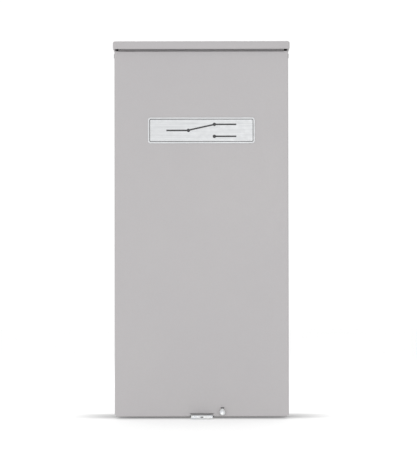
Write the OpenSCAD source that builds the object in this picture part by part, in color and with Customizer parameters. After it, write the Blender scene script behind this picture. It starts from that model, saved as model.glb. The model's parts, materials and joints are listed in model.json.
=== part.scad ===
// Automatic transfer switch, 200 A, in a wall-mounted rainproof sheet-metal cabinet.
// Frame: X to the right, the front faces -Y, Z up. The wall is the plane y = 0, and the
// origin is the centre of the four wall bolts, on the wall. All sizes are in millimetres.

/* [Cabinet] */
// Width over the side walls of the box
case_w = 343; // [340:1:352]
// Height from the top of the drip cap to the lower edge of the front cover
case_h = 751; // [748:1:770]
// Depth from the wall to the face of the front cover
case_d = 175; // [172:1:190]
// Thickness of the cabinet sheet
sheet_t = 1.6; // [1.4:0.1:1.8]
// Outside radius of the bends in the sheet
bend_r = 3; // [2.4:0.1:3.2]
// Height of the pads that hold the box off the wall
pad_h = 6; // [4:0.5:8]

/* [Wall bolts] */
// Distance between the left and right wall bolts
bolt_dx = 266.7; // [266:0.1:268]
// Distance between the upper and lower wall bolts
bolt_dz = 679.4; // [678:0.1:681]
// Radius of the wall bolt holes
bolt_r = 4.25; // [3.5:0.05:4.5]

/* [Front cover] */
// Gap between the box wall and the cover's side flange
cover_gap = 0.9; // [0.7:0.1:1.1]
// Depth of the cover's side flanges
flange_d = 33; // [32:0.5:34]
// Distance from the cover's face back to its hinge line
hinge_back = 11; // [10.5:0.1:11.5]
// Distance from the drip cap's lower edge down to the hinge line
hinge_drop = 13; // [12.5:0.1:14]
// Space between cover and box that the gasket fills
gasket_t = 3; // [2.8:0.1:3.4]
// Width of the hasp notch in the cover
notch_w = 48; // [46:1:52]

/* [Drip cap] */
// Height of the drip cap's lip
cap_lip = 16; // [15:0.5:18]
// Overhang of the drip cap past each side of the cover
cap_over = 3; // [3:0.1:4]
// Gap between the cover's face and the front lip
cap_gap = 4; // [3.8:0.1:5]

/* [Cover screw] */
// Distance of the cover screw from the middle
screw_x = 41; // [38:1:60]
// Height of the cover screw above the cover's lower edge
screw_up = 10.4; // [10.2:0.1:11]
// Turns that free the screw from its nut
screw_turns = 12; // [10:1:12]
// Pitch of the screw thread
screw_pitch = 0.8; // [0.7:0.1:0.8]

/* [Nameplate] */
// Width of the nameplate
plate_w = 214; // [120:1:240]
// Height of the nameplate
plate_h = 52; // [40:1:60]
// Height of the nameplate's centre above the cover's lower edge
plate_up = 572; // [300:1:640]

/* [Transfer mechanism] */
// Height of the contact shaft above the origin
shaft_z = -15; // [-18:1:-12]
// Swing of the contact shaft from utility to generator
throw_deg = 36; // [32:1:36]
// Distance of each pole from the middle
pole_x = 28; // [28:0.5:29]
// Length of a moving contact arm from the shaft's axis
arm_len = 50; // [48:1:50]
// Radius of the crank that works the solenoid plunger
crank_r = 18; // [17:0.5:18]

/* [Main breaker] */
// Height of the breaker handle's axis above the origin
breaker_z = 227; // [222:1:232]
// Swing of the breaker handle from on to off
breaker_deg = 40; // [30:1:40]

/* [Hidden] */
$fn = 64;

// Colours
paint = [0.74, 0.73, 0.735];
zinc = [0.80, 0.81, 0.82];
steel = [0.62, 0.63, 0.65];
copper = [0.78, 0.45, 0.28];
tin = [0.83, 0.83, 0.80];
moulding = [0.13, 0.13, 0.14];
ivory = [0.86, 0.84, 0.76];
clear = [0.75, 0.85, 0.90];
board_green = [0.07, 0.33, 0.18];
wire_blue = [0.16, 0.24, 0.55];
coil_tape = [0.62, 0.20, 0.12];
red_moulding = [0.62, 0.16, 0.12];
fibre = [0.55, 0.36, 0.22];
header_green = [0.11, 0.53, 0.29];
foam = [0.10, 0.10, 0.10];
charcoal = [0.11, 0.11, 0.12];
silver = [0.88, 0.88, 0.88];

// Heights of the cabinet
top_z = case_h / 2;
low_z = -case_h / 2;
cap_under_z = top_z - sheet_t;
lip_z = top_z - cap_lip;
box_low_z = low_z + 4;
cover_top_z = lip_z + 6.5;
seam_z = lip_z - 4;
hinge_z = lip_z - hinge_drop;

// Depths of the cabinet
back_y = -pad_h;
back_in_y = back_y - sheet_t;
cover_y = -case_d;
cover_in_y = cover_y + sheet_t;
box_y = cover_in_y + gasket_t;
box_in_y = box_y + sheet_t;
hinge_y = cover_y + hinge_back;
cap_y = cover_y - cap_gap - sheet_t;

// Widths of the cabinet
box_x = case_w / 2;
box_in_x = box_x - sheet_t;
flange_in_x = box_x + cover_gap;
cover_x = flange_in_x + sheet_t;
cap_x = cover_x + cap_over;
cap_corner = 4.5;
cap_cut = 2;
return_w = 14;

// Hinge pins and the notch that lets the cover's top edge swing in
pin_r = 2.5;
pin_fit = 0.08;
pin_head_r = 4.5;
pin_peen_r = 3.6;
notch_up = 6;
notch_back = 21;
flange_arc_r = 25;

// Hem at the cover's top, which steps back under the drip cap's lip and stands up behind it
hem_back = 8;
hem_x = 166;
hem_cut = 5;

// Hasp and cover screw
notch_h = 7;
staple_t = 2.5;
staple_x = 21.5;
staple_out = 16;
staple_low_z = low_z - 4.5;
padlock_r = 4.25;
padlock_y = cover_y - (staple_out - staple_t) / 2;
sill_z = box_low_z + 26;
screw_z = low_z + screw_up;
screw_r = 2.5;
screw_free_r = 2.7;
slot_up = 17.6;
washer_t = 1;
nut_head_t = 0.8;
screw_tip_y = box_y - nut_head_t + screw_turns * screw_pitch;

// Subpanel
panel_y = -22;
panel_t = 2;
panel_x = 135;
panel_z = [-262, 315];
stud_r = 3;
stud_at = [for (x = [-126, 126], z = [panel_z[0] + 10, 300]) [x, z]];

// Breaker
breaker_x = 38;
breaker_zs = [150, 305];
breaker_face_y = -90;
breaker_nose_y = -102;
breaker_axis_y = -84;
breaker_pole_x = 19;
breaker_hub_r = 17;
breaker_pocket_y = -42;

// Transfer mechanism
shaft_y = -60;
shaft_r = 6;
shaft_x = [-77, 82];
base_y = -42;
base_half = 90;
base_x = 70;
cheek_x = [57, 61];
half_throw = throw_deg / 2;
arm_t = 8;
arm_w = 14;
pad_at = arm_len - 6;
pad_t = 2;
contact_gap = 0.2;
finger_up = 22.5;
finger_t = 3;
blade_w = 20;
load_x = [42, 54];
plunger_x = -98;
plunger_y = shaft_y - crank_r;
plunger_r = 5;
plunger_lift = crank_r * half_throw * PI / 180;
coil_z = [18, 58];
coil_r = 20;
cam_x = [64, 70];
cam_lobe_r = 16;
lever_ratio = 1 / 8;
lever_back = 15;
lever_gap = 0.9;

// Cable lugs, and the heights of the feet of the generator's and the load's
lug_hole_r = 8.5;
lug_hole_back = 12;
lug_screw_r = 5.5;
lug_d = 30;
lug_h = 28;
lug_w = 23;
lug_screw_len = 8;
generator_foot_z = shaft_z - base_half - 30;
load_foot_z = shaft_z - base_half - 76;
line_foot_z = breaker_zs[1] - 33;

// Bars and boards
neutral_x = 113;
neutral_zs = [-85, 95];
ground_xs = [-100, 20];
ground_z = -296;
ground_y = -24;
strip_zs = [-240, -218];
strip_positions = 7;
strip_pitch = 8.5;
board_xs = [68, 130];
board_zs = [-202, -110];
board_y = -34;
board_t = 1.6;

// ---------- shared shapes ----------

module block(x, y, z) {
  translate([x[0], y[0], z[0]]) cube([x[1] - x[0], y[1] - y[0], z[1] - z[0]]);
}

module x_rod(r, x, y, z) {
  translate([x[0], y, z]) rotate([0, 90, 0]) cylinder(r = r, h = x[1] - x[0]);
}

module y_rod(r, x, y, z) {
  translate([x, y[1], z]) rotate([90, 0, 0]) cylinder(r = r, h = y[1] - y[0]);
}

module z_rod(r, x, y, z) {
  translate([x, y, z[0]]) cylinder(r = r, h = z[1] - z[0]);
}

// A flat shape drawn in X and Z, thickened towards the front from y
module facing(y, t) {
  translate([0, y, 0]) rotate([90, 0, 0]) linear_extrude(t) children();
}

// A flat shape drawn in Y and Z, thickened towards +X from x
module side_on(x, t) {
  translate([x, 0, 0]) rotate([90, 0, 90]) linear_extrude(t) children();
}

module rounded(w, h, r) {
  union() {
    square([w - 2 * r, h], center = true);
    square([w, h - 2 * r], center = true);
    for (sx = [-1, 1], sy = [-1, 1]) translate([sx * (w / 2 - r), sy * (h / 2 - r)]) circle(r);
  }
}

module both_sides() {
  children();
  mirror([1, 0, 0]) children();
}

// Pan-head screw that points to +Y, its head seated at y
module pan_screw(x, y, z, shank_r, head_r, head_t, len) {
  slot_w = head_r * 0.28;
  difference() {
    union() {
      y_rod(head_r, x, [y - head_t, y], z);
      y_rod(shank_r, x, [y - head_t / 2, y + len], z);
    }
    block([x - head_r * 0.7, x + head_r * 0.7], [y - head_t - 1, y - head_t * 0.5],
          [z - slot_w / 2, z + slot_w / 2]);
    block([x - slot_w / 2, x + slot_w / 2], [y - head_t - 1, y - head_t * 0.5],
          [z - head_r * 0.7, z + head_r * 0.7]);
  }
}

// A mechanical lug: block with a cable hole along Z and a threaded hole from the front
module lug(x, y, z, w) {
  difference() {
    block([x - w / 2, x + w / 2], y, z);
    z_rod(lug_hole_r, x, y[1] - lug_hole_back, [z[0] - 1, z[1] + 1]);
    y_rod(lug_screw_r + 0.1, x, [y[0] - 1, y[1] - lug_hole_back], (z[0] + z[1]) / 2);
  }
}

// Hexagon socket screw of a lug, pointing to +Y
module lug_screw(x, y, z) {
  difference() {
    y_rod(lug_screw_r, x, [y, y + lug_screw_len], z);
    translate([x, y + 5, z]) rotate([90, 0, 0]) cylinder(r = 3.2, h = 6, $fn = 6);
  }
}

// ---------- cabinet ----------

module enclosure_wrapper() {
  box_d = back_y - box_y;
  color(paint) difference() {
    union() {
      translate([0, (back_y + box_y) / 2, box_low_z]) linear_extrude(cap_under_z - box_low_z)
        difference() {
          rounded(case_w, box_d, bend_r);
          rounded(case_w - 2 * sheet_t, box_d - 2 * sheet_t, bend_r - sheet_t);
          translate([0, -box_d / 2]) square([case_w - 2 * return_w, 4 * sheet_t], center = true);
        }
      for (x = [-1, 1], z = [-1, 1])
        y_rod(14, x * bolt_dx / 2, [back_y, 0], z * bolt_dz / 2);
    }
    for (x = [-1, 1], z = [-1, 1])
      y_rod(bolt_r, x * bolt_dx / 2, [back_in_y - 1, 1], z * bolt_dz / 2);
    block([-box_x - 1, box_x + 1], [box_y - 1, hinge_y + notch_back], [hinge_z + notch_up, top_z]);
    both_sides() x_rod(pin_r + pin_fit, [box_in_x - 1, box_x + 1], hinge_y, hinge_z);
  }
}

// A ring cut through the bottom sheet, left standing on two tabs
module knockout(x, y, r) {
  difference() {
    z_rod(r, x, y, [box_low_z - 1, box_low_z + sheet_t + 1]);
    z_rod(r - 0.8, x, y, [box_low_z - 2, box_low_z + sheet_t + 2]);
    block([x - r - 1, x + r + 1], [y - 1.5, y + 1.5], [box_low_z - 2, box_low_z + sheet_t + 2]);
  }
}

module bottom_pan() {
  mouth_x = box_x - return_w - 0.2;
  tab_h = 12;
  color(paint) difference() {
    union() {
      translate([0, (box_in_y + back_in_y) / 2, box_low_z]) linear_extrude(sheet_t)
        rounded(2 * box_in_x, back_in_y - box_in_y, bend_r - sheet_t);
      block([-mouth_x, mouth_x], [box_y, box_in_y], [box_low_z, sill_z]);
      both_sides() block([box_in_x - sheet_t, box_in_x], [box_in_y + 3, back_in_y - 3],
                         [box_low_z, box_low_z + tab_h]);
      block([-box_in_x + 4, box_in_x - 4], [back_in_y - sheet_t, back_in_y],
            [box_low_z, box_low_z + tab_h]);
    }
    for (x = [-95, 0, 95]) knockout(x, -70, 38);
    for (x = [-95, 0, 95]) knockout(x, -70, 31);
    for (x = [-48, 48]) knockout(x, -130, 14);
    y_rod(4.45, screw_x, [box_y - 1, box_in_y + 1], screw_z);
  }
}

// Front view of the cap: round upper corners, and lower corners cut at 45 degrees
module cap_outline(x, top, r, cut) {
  union() {
    polygon([
      [-x + cut, lip_z], [x - cut, lip_z], [x, lip_z + cut],
      [x, top - r], [-x, top - r], [-x, lip_z + cut]
    ]);
    translate([-x + r, lip_z + 1]) square([2 * (x - r), top - lip_z - 1]);
    for (side = [-1, 1]) translate([side * (x - r), top - r]) circle(r);
  }
}

module top_cap() {
  color(paint) difference() {
    facing(back_y, back_y - cap_y) cap_outline(cap_x, top_z, cap_corner, cap_cut);
    facing(back_y + 1, back_y + 1 - cap_y - sheet_t)
      cap_outline(cap_x - sheet_t, cap_under_z, cap_corner - sheet_t, 0);
    block([-cap_x - 1, cap_x + 1], [cap_y + sheet_t, back_y + 1], [lip_z - 1, lip_z + cap_cut]);
    difference() {
      block([-cap_x - 1, cap_x + 1], [cap_y - 1, cap_y + bend_r], [top_z - bend_r, top_z + 1]);
      x_rod(bend_r, [-cap_x - 2, cap_x + 2], cap_y + bend_r, top_z - bend_r);
    }
  }
}

module hasp_staple() {
  web_z = [box_low_z - staple_t, box_low_z];
  lip_y = [cover_y - staple_out, cover_y - staple_out + staple_t];
  corner = 2.4;
  color(zinc) difference() {
    union() {
      block([-staple_x, staple_x], [lip_y[0] + 1, -140], web_z);
      facing(lip_y[1], staple_t) translate([0, (staple_low_z + box_low_z) / 2])
        rounded(2 * staple_x, box_low_z - staple_low_z, corner);
    }
    z_rod(padlock_r, 0, padlock_y, [web_z[0] - 1, web_z[1] + 1]);
    block([-3.2, 3.2], [lip_y[0] - 1, lip_y[1] + 1], [web_z[0] - 3, web_z[0] - 0.4]);
  }
}

module hinge_pins() {
  color(zinc) both_sides() union() {
    x_rod(pin_r, [box_in_x - 1, cover_x + 0.6], hinge_y, hinge_z);
    x_rod(pin_head_r, [cover_x + 0.3, cover_x + 1.2], hinge_y, hinge_z);
    x_rod(pin_peen_r, [box_in_x - 1.4, box_in_x], hinge_y, hinge_z);
  }
}

module rivet_nut() {
  color(zinc) difference() {
    union() {
      y_rod(6, screw_x, [box_y - nut_head_t, box_y], screw_z);
      y_rod(4.4, screw_x, [box_y - nut_head_t, box_y + 10], screw_z);
    }
    y_rod(screw_free_r, screw_x, [box_y - 2, box_y + 11], screw_z);
  }
}

module subpanel() {
  color(zinc) difference() {
    union() {
      block([-panel_x, panel_x], [panel_y, panel_y + panel_t], panel_z);
      for (z = [0, 1]) block([-panel_x + 2, panel_x - 2], [panel_y, panel_y + 9],
                             [panel_z[z] - (z == 1 ? panel_t : 0), panel_z[z] + (z == 0 ? panel_t : 0)]);
    }
    for (p = stud_at) y_rod(stud_r + 0.1, p[0], [panel_y - 1, panel_y + panel_t + 1], p[1]);
  }
}

module subpanel_standoffs() {
  color(zinc) for (p = stud_at) union() {
    y_rod(6, p[0], [panel_y + panel_t, back_in_y], p[1]);
    y_rod(stud_r, p[0], [panel_y - 8, panel_y + panel_t + 1], p[1]);
  }
}

module subpanel_nuts() {
  color(zinc) for (p = stud_at) difference() {
    translate([p[0], panel_y, p[1]]) rotate([90, 0, 0]) cylinder(r = 5.8, h = 5, $fn = 6);
    y_rod(stud_r + 0.05, p[0], [panel_y - 6, panel_y + 1], p[1]);
  }
}

// ---------- front cover ----------

module front_cover() {
  color(paint) difference() {
    union() {
      translate([0, 0, low_z]) linear_extrude(cover_top_z - low_z) difference() {
        translate([0, cover_y + flange_d / 2]) rounded(2 * cover_x, flange_d, bend_r);
        translate([0, cover_in_y + flange_d / 2])
          rounded(2 * flange_in_x, flange_d, bend_r - sheet_t);
        translate([-cover_x, cover_y + flange_d - bend_r - 0.1]) square([2 * cover_x, flange_d]);
      }
      both_sides() block([flange_in_x, cover_x], [cover_y + flange_d - bend_r - 1, cover_y + flange_d],
                         [low_z, cover_top_z]);
      block([-flange_in_x - 0.5, flange_in_x + 0.5], [cover_in_y - 0.5, cover_in_y + 12],
            [low_z, low_z + sheet_t]);
      block([-hem_x, hem_x], [cover_in_y - 0.5, cover_y + hem_back + sheet_t],
            [seam_z - sheet_t, seam_z]);
      block([-hem_x, hem_x], [cover_y + hem_back, cover_y + hem_back + sheet_t],
            [seam_z - sheet_t, cover_top_z]);
    }
    block([-cover_x - 1, cover_x + 1], [cover_y - 1, cover_y + hem_cut], [seam_z, cover_top_z + 1]);
    both_sides() difference() {
      block([flange_in_x - 1, cover_x + 1], [hinge_y, cover_y + flange_d + 1],
            [hinge_z, cover_top_z + 1]);
      x_rod(flange_arc_r, [flange_in_x - 2, cover_x + 2], hinge_y, hinge_z);
    }
    both_sides() x_rod(pin_r + pin_fit, [flange_in_x - 1, cover_x + 1], hinge_y, hinge_z);
    facing(cover_y + flange_d, flange_d + 1) translate([0, low_z])
      rounded(notch_w, 2 * notch_h, 2.5);
    y_rod(3.2, screw_x, [cover_y - 1, cover_in_y + 1], screw_z);
    facing(cover_in_y + 1, sheet_t + 2) translate([screw_x, low_z + slot_up]) rounded(7.2, 3, 1.4);
    difference() {
      block([-cover_x - 1, cover_x + 1], [cover_y - 1, cover_y + bend_r], [low_z - 1, low_z + bend_r]);
      x_rod(bend_r, [-cover_x - 2, cover_x + 2], cover_y + bend_r, low_z + bend_r);
    }
    both_sides() difference() {
      block([cover_x - bend_r, cover_x + 1], [cover_y - 1, cover_y + flange_d + 1],
            [low_z - 1, low_z + bend_r]);
      y_rod(bend_r, cover_x - bend_r, [cover_y - 2, cover_y + flange_d + 2], low_z + bend_r);
    }
  }
}

module cover_gasket() {
  side_x = [box_in_x - 10, box_in_x - 2];
  strip_z = [sill_z - 9, sill_z - 2];
  y = [cover_in_y, box_y - 0.1];
  color(foam) union() {
    both_sides() block(side_x, y, [strip_z[0], hinge_z - 16]);
    block([-side_x[0] - 1, side_x[0] + 1], y, strip_z);
  }
}

// Plain plate with a border and a generic symbol: one line that can go to either of two
module nameplate() {
  plate_t = 0.8;
  raised = 0.3;
  mid_z = low_z + plate_up;
  dot_r = 3.4;
  stroke = 3;
  reach_x = 26;
  reach_z = 12;
  lead = 44;
  tilt = atan2(reach_z, 2 * reach_x);
  color(silver) facing(cover_y, plate_t) translate([0, mid_z]) rounded(plate_w, plate_h, 5);
  color(charcoal) facing(cover_y - plate_t, raised) translate([0, mid_z]) {
    difference() {
      rounded(plate_w - 6, plate_h - 6, 3);
      rounded(plate_w - 8.4, plate_h - 8.4, 2);
    }
    translate([-reach_x, 0]) circle(dot_r);
    translate([-reach_x - lead, -stroke / 2]) square([lead, stroke]);
    for (s = [-1, 1]) {
      translate([reach_x, s * reach_z]) circle(dot_r);
      translate([reach_x, s * reach_z - stroke / 2]) square([lead, stroke]);
    }
    translate([-reach_x, 0]) rotate(tilt) translate([0, -stroke / 2])
      square([norm([2 * reach_x, reach_z]), stroke]);
  }
}

module screw_washer() {
  color(ivory) difference() {
    y_rod(5, screw_x, [cover_y - washer_t, cover_y], screw_z);
    y_rod(screw_r + pin_fit, screw_x, [cover_y - washer_t - 1, cover_y + 1], screw_z);
  }
}

// Thumb screw with an egg-shaped head, the narrow end up
module cover_screw() {
  seat_y = cover_y - washer_t;
  color(zinc) union() {
    y_rod(screw_r, screw_x, [seat_y - 1, screw_tip_y - 1], screw_z);
    translate([screw_x, screw_tip_y - 1.01, screw_z]) rotate([-90, 0, 0])
      cylinder(r1 = screw_r, r2 = 1.6, h = 1.01);
    y_rod(4.6, screw_x, [seat_y - 1.6, seat_y], screw_z);
    facing(seat_y - 1.5, 5) translate([screw_x, screw_z]) hull() {
      translate([0, -1.7]) circle(6, $fn = 32);
      translate([0, 2.6]) circle(3.1, $fn = 32);
    }
  }
}

// ---------- main breaker ----------

module main_breaker_case() {
  nose_z = [breaker_z - 36, breaker_z + 36];
  slot_z = 13;
  slot_x = 9;
  pocket_x = 13;
  pocket_y = [breaker_face_y - 1, breaker_pocket_y];
  color(moulding) difference() {
    union() {
      facing(panel_y, panel_y - breaker_face_y) translate([0, (breaker_zs[0] + breaker_zs[1]) / 2])
        rounded(2 * breaker_x, breaker_zs[1] - breaker_zs[0], 3);
      facing(breaker_face_y + 1, breaker_face_y + 1 - breaker_nose_y) translate([0, breaker_z])
        rounded(60, nose_z[1] - nose_z[0], 3);
    }
    x_rod(breaker_hub_r + 0.6, [-slot_x, slot_x], breaker_axis_y, breaker_z);
    block([-slot_x, slot_x], [breaker_nose_y - 1, breaker_axis_y],
          [breaker_z - slot_z, breaker_z + slot_z]);
    for (x = [-breaker_pole_x, breaker_pole_x]) {
      block([x - pocket_x, x + pocket_x], pocket_y, [breaker_zs[1] - 46, breaker_zs[1] + 1]);
      block([x - pocket_x, x + pocket_x], pocket_y, [breaker_zs[0] - 1, breaker_zs[0] + 24]);
    }
    block([-0.8, 0.8], [breaker_face_y - 1, breaker_face_y + 6], [breaker_zs[0] - 1, nose_z[0] - 3]);
    block([-0.8, 0.8], [breaker_face_y - 1, breaker_face_y + 6], [nose_z[1] + 3, breaker_zs[1] + 1]);
    both_sides() for (z = [breaker_zs[0] + 34, breaker_zs[1] - 44])
      block([breaker_x - 1.5, breaker_x + 1], [breaker_face_y - 1, panel_y - 10], [z, z + 3]);
  }
}

// The toggle, tipped up to its on position
module main_breaker_handle() {
  toggle_z = 8;
  toggle_out = 33;
  color(moulding) translate([0, breaker_axis_y, breaker_z]) rotate([-breaker_deg / 2, 0, 0])
    union() {
      x_rod(breaker_hub_r, [-8.4, 8.4], 0, 0);
      block([-8, 8], [-toggle_out, 0], [-toggle_z / 2, toggle_z / 2]);
      block([-8, 8], [-toggle_out - 2, -toggle_out + 3], [-toggle_z / 2 + 1.5, toggle_z / 2 - 1.5]);
    }
}

module line_lugs() {
  color(tin) for (x = [-breaker_pole_x, breaker_pole_x])
    lug(x, [breaker_pocket_y - lug_d, breaker_pocket_y], [line_foot_z, line_foot_z + lug_h],
        lug_w);
}

// Middle, front and foot of the right-hand line, generator and load lugs
lug_feet = [
  [breaker_pole_x, breaker_pocket_y - lug_d, line_foot_z],
  [pole_x, base_y - lug_d, generator_foot_z],
  [(load_x[0] + load_x[1]) / 2, base_y - lug_d, load_foot_z]
];

module lug_screws() {
  color(steel) both_sides() for (f = lug_feet) lug_screw(f[0], f[1] - 2, f[2] + lug_h / 2);
}

// From the breaker's lower terminals to the utility contacts, stepping out to the poles
module bus_bars() {
  bar_w = 18;
  low = shaft_z + 48;
  step_z = 118;
  color(copper) both_sides() difference() {
    facing(base_y - 3, 3) polygon([
      [breaker_pole_x - bar_w / 2, breaker_zs[0] + 23],
      [breaker_pole_x + bar_w / 2, breaker_zs[0] + 23],
      [breaker_pole_x + bar_w / 2, step_z + 8],
      [pole_x + bar_w / 2, step_z - 8],
      [pole_x + bar_w / 2, low],
      [pole_x - bar_w / 2, low],
      [pole_x - bar_w / 2, step_z - 8],
      [breaker_pole_x - bar_w / 2, step_z + 8]
    ]);
    for (p = bus_bolt_at) y_rod(3.1, p[0], [base_y - 7, base_y - 2], p[1]);
  }
}
bus_bolt_at = [[breaker_pole_x, breaker_zs[0] + 13], [pole_x, shaft_z + 58]];

module bus_bolts() {
  color(zinc) both_sides() for (p = bus_bolt_at) union() {
    y_rod(3, p[0], [base_y - 8, base_y - 3], p[1]);
    translate([p[0], base_y - 6, p[1]]) rotate([90, 0, 0]) cylinder(r = 5.6, h = 4, $fn = 6);
  }
}

// ---------- dead front ----------

front_panel_y = -96;
front_panel_z = [112, 322];
front_panel_x = box_in_x - 2;
front_screws = [for (z = [front_panel_z[0] + 18, front_panel_z[1] - 18]) z];
bracket_w = 20;

module dead_front() {
  cut_x = 31;
  cut_z = 39;
  fold = 10;
  hem_t = 1.2;
  color(paint) difference() {
    union() {
      block([-front_panel_x, front_panel_x], [front_panel_y, front_panel_y + hem_t], front_panel_z);
      for (z = [front_panel_z[0], front_panel_z[1] - hem_t])
        block([-front_panel_x + bracket_w + 4, front_panel_x - bracket_w - 4],
              [front_panel_y, front_panel_y + fold], [z, z + hem_t]);
    }
    block([-cut_x, cut_x], [front_panel_y - 1, front_panel_y + 2], [breaker_z - cut_z, breaker_z + cut_z]);
    both_sides() for (z = front_screws)
      y_rod(2.4, front_panel_x - 9, [front_panel_y - 1, front_panel_y + 2], z);
  }
}

module dead_front_brackets() {
  face_y = front_panel_y + 1.2;
  z = [front_panel_z[0] + 4, front_panel_z[1] - 4];
  color(paint) both_sides() difference() {
    union() {
      block([box_in_x - bracket_w, box_in_x], [face_y, face_y + sheet_t], z);
      block([box_in_x - sheet_t, box_in_x], [face_y, face_y + 24], z);
    }
    for (s = front_screws) y_rod(2.1, front_panel_x - 9, [face_y - 1, face_y + 3], s);
  }
}

module dead_front_screws() {
  color(zinc) both_sides() for (z = front_screws)
    pan_screw(front_panel_x - 9, front_panel_y, z, 2, 4.2, 2.6, 8);
}

// ---------- transfer mechanism ----------

module transfer_base() {
  wall_z = [shaft_z - 78, shaft_z + 78];
  wall_y = [-95, base_y + 1];
  color(moulding) difference() {
    union() {
      facing(panel_y, panel_y - base_y) translate([0, shaft_z]) rounded(2 * base_x, 2 * base_half, 4);
      both_sides() block(cheek_x, wall_y, wall_z);
      block([-1.5, 1.5], wall_y, wall_z);
    }
    both_sides() x_rod(9, [cheek_x[0] - 1, cheek_x[1] + 1], shaft_y, shaft_z);
    x_rod(shaft_r + 1.5, [-3, 3], shaft_y, shaft_z);
    both_sides() for (s = [-1, 1]) block([pole_x - 12, pole_x + 12], [base_y - 1, base_y + 3],
                                         [shaft_z + s * 42 - 8, shaft_z + s * 42 + 8]);
  }
}

module shaft_bushings() {
  color(ivory) both_sides() difference() {
    union() {
      x_rod(9, cheek_x, shaft_y, shaft_z);
      x_rod(11, [cheek_x[1], cheek_x[1] + 1.6], shaft_y, shaft_z);
    }
    x_rod(shaft_r + pin_fit, [cheek_x[0] - 1, cheek_x[1] + 3], shaft_y, shaft_z);
  }
}

module contact_shaft() {
  color(steel) x_rod(shaft_r, shaft_x, shaft_y, shaft_z);
}

// Turns a piece of the moving group to its place at the utility end of the throw
module at_utility() {
  translate([0, shaft_y, shaft_z]) rotate([-half_throw, 0, 0]) children();
}

module contact_arms() {
  color(copper) both_sides() at_utility() difference() {
    union() {
      x_rod(9, [pole_x - arm_w / 2, pole_x + arm_w / 2], 0, 0);
      block([pole_x - arm_w / 2, pole_x + arm_w / 2], [-arm_len, 0], [-arm_t / 2, arm_t / 2]);
      z_rod(5, pole_x, -pad_at, [-arm_t / 2 - pad_t, arm_t / 2 + pad_t]);
    }
    x_rod(shaft_r, [pole_x - arm_w, pole_x + arm_w], 0, 0);
  }
}

// One fixed contact above the shaft: foot on the base, finger and silver pad
module fixed_contact() {
  x = [pole_x - blade_w / 2, pole_x + blade_w / 2];
  z = shaft_z + finger_up;
  pad_low = arm_t / 2 + pad_t + contact_gap;
  union() {
    block(x, [-107, base_y], [z, z + finger_t]);
    block(x, [base_y - finger_t, base_y], [z, shaft_z + 70]);
    at_utility() z_rod(5, pole_x, -pad_at, [pad_low, pad_low + 4.6]);
  }
}

// Puts a piece that stands above the shaft below it too
module below_shaft() {
  translate([0, 0, 2 * shaft_z]) mirror([0, 0, 1]) children();
}

module utility_contacts() {
  color(copper) both_sides() fixed_contact();
}

module generator_contacts() {
  color(copper) both_sides() union() {
    below_shaft() fixed_contact();
    block([pole_x - blade_w / 2, pole_x + blade_w / 2], [base_y - finger_t, base_y],
          [generator_foot_z, shaft_z - 60]);
  }
}

// Two cheeks that hold each arm's hub, and the strap that leads down to the load lug
module load_terminals() {
  cheek_t = 2;
  hub = arm_w / 2 + 0.3;
  color(copper) both_sides() difference() {
    union() {
      for (x = [pole_x - hub - cheek_t, pole_x + hub]) {
        x_rod(10, [x, x + cheek_t], shaft_y, shaft_z);
        block([x, x + cheek_t], [shaft_y, base_y], [shaft_z - 10, shaft_z + 10]);
      }
      block([pole_x - hub - cheek_t, load_x[1]], [base_y - 3, base_y], [shaft_z - 10, shaft_z + 10]);
      block(load_x, [base_y - 3, base_y], [load_foot_z, shaft_z + 10]);
    }
    x_rod(shaft_r + 0.4, [pole_x - 12, pole_x + 12], shaft_y, shaft_z);
  }
}

// Steel plates with a notch for the arc, stacked in a fibre housing in front of each pole
module arc_chutes() {
  chute_x = [pole_x - 15, pole_x + 15];
  chute_y = [-130, -112];
  chute_z = 32;
  plates = 9;
  color(fibre) both_sides() union() {
    for (x = [chute_x[0], chute_x[1] - 2])
      block([x, x + 2], chute_y, [shaft_z - chute_z, shaft_z + chute_z]);
    block(chute_x, [chute_y[0], chute_y[0] + 2], [shaft_z - chute_z, shaft_z + chute_z]);
    for (i = [0:plates - 1]) {
      z = shaft_z - chute_z + 3 + i * (2 * chute_z - 7.2) / (plates - 1);
      difference() {
        block([chute_x[0] + 1, chute_x[1] - 1], [chute_y[0] + 1, chute_y[1] - 2], [z, z + 1.2]);
        z_rod(7, pole_x, chute_y[1], [z - 1, z + 3]);
      }
    }
  }
}

shield_x = [-66, 66];
shield_y = -136;
shield_t = 2.4;
shield_legs = [for (x = [-64, 64], z = [shaft_z - base_half + 8, shaft_z + base_half - 8]) [x, z]];

module transfer_shield() {
  z = [shaft_z - base_half, shaft_z + base_half];
  color(clear) difference() {
    union() {
      facing(shield_y + shield_t, shield_t) translate([0, shaft_z])
        rounded(shield_x[1] - shield_x[0] + 8, z[1] - z[0], 4);
      for (p = shield_legs) y_rod(5, p[0], [shield_y + 1, base_y], p[1]);
      block([-58, 58], [shield_y + 1, -112], [z[1] - shield_t, z[1]]);
      block([-58, 58], [shield_y + 1, -112], [z[0], z[0] + shield_t]);
    }
    for (p = shield_legs) y_rod(2.1, p[0], [shield_y - 1, shield_y + 14], p[1]);
  }
}

module shield_screws() {
  color(zinc) for (p = shield_legs) pan_screw(p[0], shield_y, p[1], 2, 4.2, 2.6, 10);
}

module generator_lugs() {
  f = lug_feet[1];
  color(tin) both_sides() lug(f[0], [f[1] - 3, base_y - 3], [f[2], f[2] + lug_h], lug_w - 1);
}

module load_lugs() {
  f = lug_feet[2];
  color(tin) both_sides() lug(f[0], [f[1] - 3, base_y - 3], [f[2], f[2] + lug_h], lug_w - 1);
}

handle_x = [73, 79];
handle_len = 62;

module manual_handle() {
  color(zinc) at_utility() difference() {
    union() {
      x_rod(11, handle_x, 0, 0);
      block(handle_x, [-handle_len, 0], [-6, 6]);
      x_rod(6, handle_x, -handle_len, 0);
    }
    x_rod(shaft_r, [handle_x[0] - 1, handle_x[1] + 1], 0, 0);
  }
}

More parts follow.
